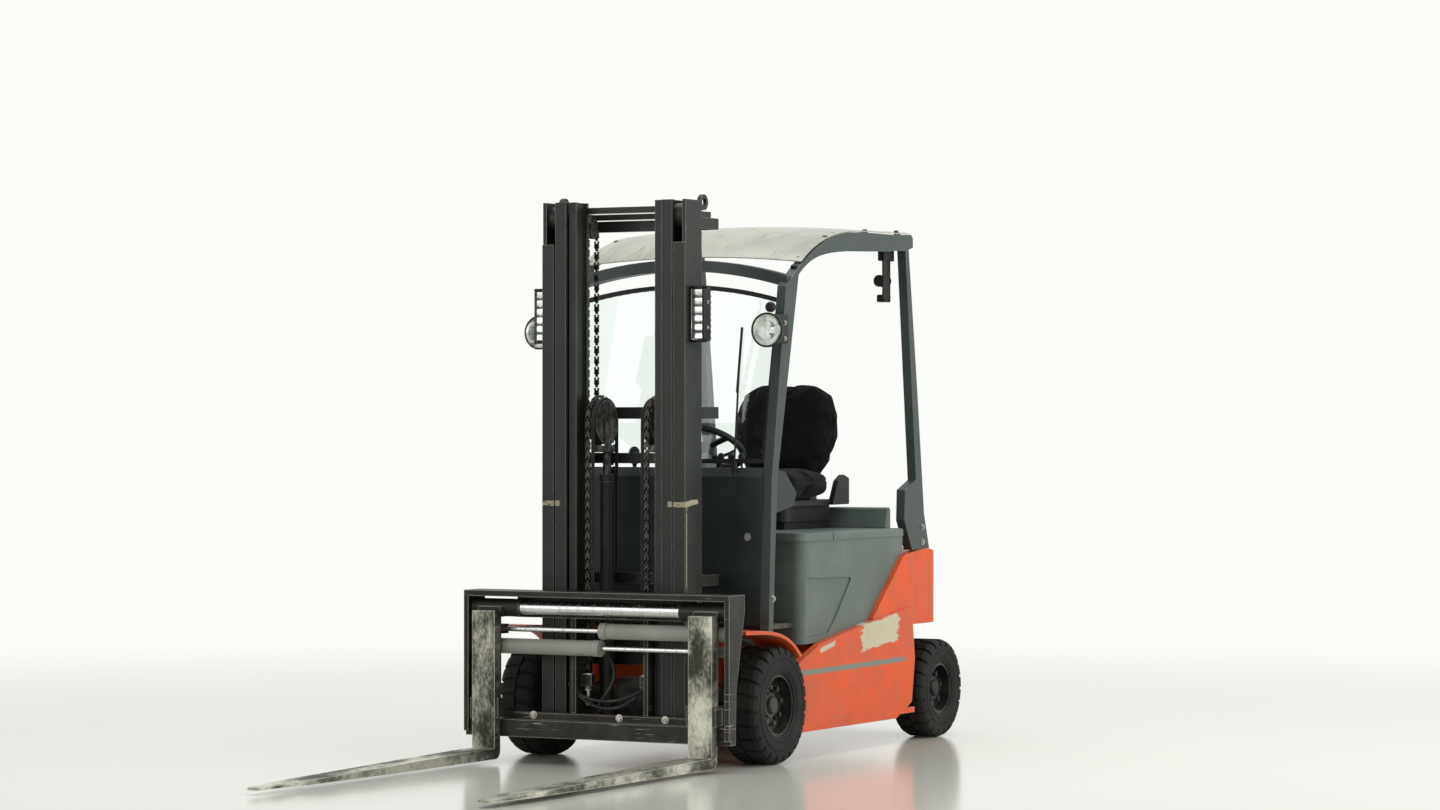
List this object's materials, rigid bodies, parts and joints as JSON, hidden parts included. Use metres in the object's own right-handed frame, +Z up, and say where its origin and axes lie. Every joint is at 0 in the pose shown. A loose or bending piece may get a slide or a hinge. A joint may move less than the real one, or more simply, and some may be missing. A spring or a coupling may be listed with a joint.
{
  "type": "electric counterbalance forklift with a fork positioner",
  "caption": "Electric counterbalance forklift with a three-stage mast, fork positioner, overhead guard and steered rear wheels.",
  "frame": {"origin": "on the floor, below the middle of the bounding box in X and Y", "axes": "+Z up, the forks point along -Y, +X to the vehicle's left"},
  "size_m": [1.146, 3.695, 2.144],
  "materials": {
    "black_plastic": "grained",
    "black_rubber": "matt",
    "cast_black": "painted",
    "chain_steel": "oily",
    "chrome": "polished",
    "clear_glass": "clear",
    "dark_plastic": "grained",
    "grey_steel": "satin",
    "mast_black": "satin, worn at edges",
    "orange_paint": "semi-gloss, scratched",
    "pale_sheet": "weathered",
    "rim_black": "satin",
    "seat_fabric": "woven",
    "slate_paint": "satin",
    "tyre_black": "matt",
    "worn_steel": "worn bare steel"
  },
  "bodies": {
    "chassis": {"chassis_frame": "orange_paint", "battery": "black_plastic", "drive_axle": "cast_black", "steer_axle": "cast_black", "axle_hangers": "cast_black", "counterweight": "orange_paint", "battery_surround": "slate_paint", "fenders": "orange_paint", "front_cowl": "dark_plastic", "floor_plate": "black_rubber", "steering_column": "black_plastic", "overhead_guard": "slate_paint", "roof_panel": "pale_sheet", "windscreen": "clear_glass", "windscreen_trim": "black_rubber", "wiper": "black_plastic", "head_lamps": "black_plastic", "head_lamp_lenses": "clear_glass", "rear_lamp": "black_plastic", "mirror": "black_plastic"},
    "steering_wheel": {"steering_wheel": "black_plastic"},
    "hood": {"hood_lid": "dark_plastic", "seat_base": "black_plastic", "seat_cushion": "seat_fabric", "seat_back": "seat_fabric"},
    "mast_outer": {"mast_outer": "mast_black", "lift_cylinder_barrels": "mast_black", "mast_lamps": "black_plastic", "mast_lamp_lenses": "clear_glass"},
    "tilt_barrels": {"tilt_barrels": "mast_black"},
    "tilt_rods": {"tilt_rods": "chrome"},
    "mast_middle": {"mast_middle": "mast_black", "lift_cylinder_rods": "chrome", "main_pulleys": "chain_steel", "main_chains": "chain_steel"},
    "mast_inner": {"mast_inner": "mast_black", "free_lift_barrels": "mast_black"},
    "free_lift": {"free_lift_rods": "chain_steel", "lift_chains": "chain_steel", "mast_hoses": "black_rubber"},
    "carriage": {"carriage": "mast_black", "positioner_frame": "mast_black", "fork_shaft": "chrome", "positioner_barrels": "grey_steel"},
    "fork_left": {"fork_left": "worn_steel", "hanger_left": "mast_black", "rod_left": "chrome"},
    "fork_right": {"fork_right": "worn_steel", "hanger_right": "mast_black", "rod_right": "chrome"},
    "knuckle_left": {"knuckle_left": "cast_black"},
    "knuckle_right": {"knuckle_right": "cast_black"},
    "front_left_wheel": {"front_left_tyre": "tyre_black", "front_left_rim": "rim_black"},
    "front_right_wheel": {"front_right_tyre": "tyre_black", "front_right_rim": "rim_black"},
    "rear_left_wheel": {"rear_left_tyre": "tyre_black", "rear_left_rim": "rim_black"},
    "rear_right_wheel": {"rear_right_tyre": "tyre_black", "rear_right_rim": "rim_black"}
  },
  "joints": [
    {"name": "mast_tilt", "type": "hinge", "parent": "chassis", "child": "mast_outer", "pos_m": [0, 0.0175, 0.2], "axis": [1, 0, 0], "range_deg": [-6, 5]},
    {"name": "middle_lift", "type": "slide", "parent": "mast_outer", "child": "mast_middle", "axis": [0, 0, 1], "range_m": [0, 1.38], "deforming": ["main_chains"]},
    {"name": "inner_lift", "type": "slide", "parent": "mast_middle", "child": "mast_inner", "axis": [0, 0, 1], "range_m": [0, 1.38]},
    {"name": "carriage_lift", "type": "slide", "parent": "mast_inner", "child": "carriage", "axis": [0, 0, 1], "range_m": [0, 1.34]},
    {"name": "free_lift", "type": "slide", "parent": "mast_inner", "child": "free_lift", "axis": [0, 0, 1], "range_m": [0, 0.67], "deforming": ["lift_chains", "mast_hoses"]},
    {"name": "fork_left_slide", "type": "slide", "parent": "carriage", "child": "fork_left", "axis": [-1, 0, 0], "range_m": [0, 0.3]},
    {"name": "fork_right_slide", "type": "slide", "parent": "carriage", "child": "fork_right", "axis": [1, 0, 0], "range_m": [0, 0.3]},
    {"name": "hood_hinge", "type": "hinge", "parent": "chassis", "child": "hood", "pos_m": [0, 1.3075, 0.836], "axis": [-1, 0, 0], "range_deg": [0, 60]},
    {"name": "steering_wheel_turn", "type": "hinge", "parent": "chassis", "child": "steering_wheel", "pos_m": [0, 0.5525, 1.19], "axis": [0, 0.53, 0.848], "continuous": true},
    {"name": "steer_left", "type": "hinge", "parent": "chassis", "child": "knuckle_left", "pos_m": [0.375, 1.5975, 0.2], "axis": [0, 0, 1], "range_deg": [-65, 65]},
    {"name": "steer_right", "type": "hinge", "parent": "chassis", "child": "knuckle_right", "pos_m": [-0.375, 1.5975, 0.2], "axis": [0, 0, 1], "range_deg": [-65, 65]},
    {"name": "tilt_barrel_swing", "type": "hinge", "parent": "chassis", "child": "tilt_barrels", "pos_m": [0, 0.3845, 0.42], "axis": [1, 0, 0], "range_deg": [-2.22, 1.88]},
    {"name": "tilt_rod_slide", "type": "slide", "parent": "tilt_barrels", "child": "tilt_rods", "axis": [0, -0.9773, 0.212], "range_m": [-0.0317, 0.0266]},
    {"name": "front_left_roll", "type": "hinge", "parent": "chassis", "child": "front_left_wheel", "pos_m": [0.48, 0.1225, 0.222], "axis": [1, 0, 0], "continuous": true},
    {"name": "rear_left_roll", "type": "hinge", "parent": "knuckle_left", "child": "rear_left_wheel", "pos_m": [0.455, 1.5975, 0.2], "axis": [1, 0, 0], "continuous": true},
    {"name": "front_right_roll", "type": "hinge", "parent": "chassis", "child": "front_right_wheel", "pos_m": [-0.48, 0.1225, 0.222], "axis": [1, 0, 0], "continuous": true},
    {"name": "rear_right_roll", "type": "hinge", "parent": "knuckle_right", "child": "rear_right_wheel", "pos_m": [-0.455, 1.5975, 0.2], "axis": [1, 0, 0], "continuous": true}
  ],
  "couplings": [
    {"joint": "inner_lift", "follows": "middle_lift", "ratio": 1},
    {"joint": "free_lift", "follows": "carriage_lift", "ratio": 0.5},
    {"joint": "fork_right_slide", "follows": "fork_left_slide", "ratio": 1},
    {"joint": "steer_right", "follows": "steer_left", "ratio": 1},
    {"joint": "tilt_barrel_swing", "follows": "mast_tilt", "ratio": 0.33608},
    {"joint": "tilt_rod_slide", "follows": "mast_tilt", "m_per_rad": 0.29357}
  ]
}
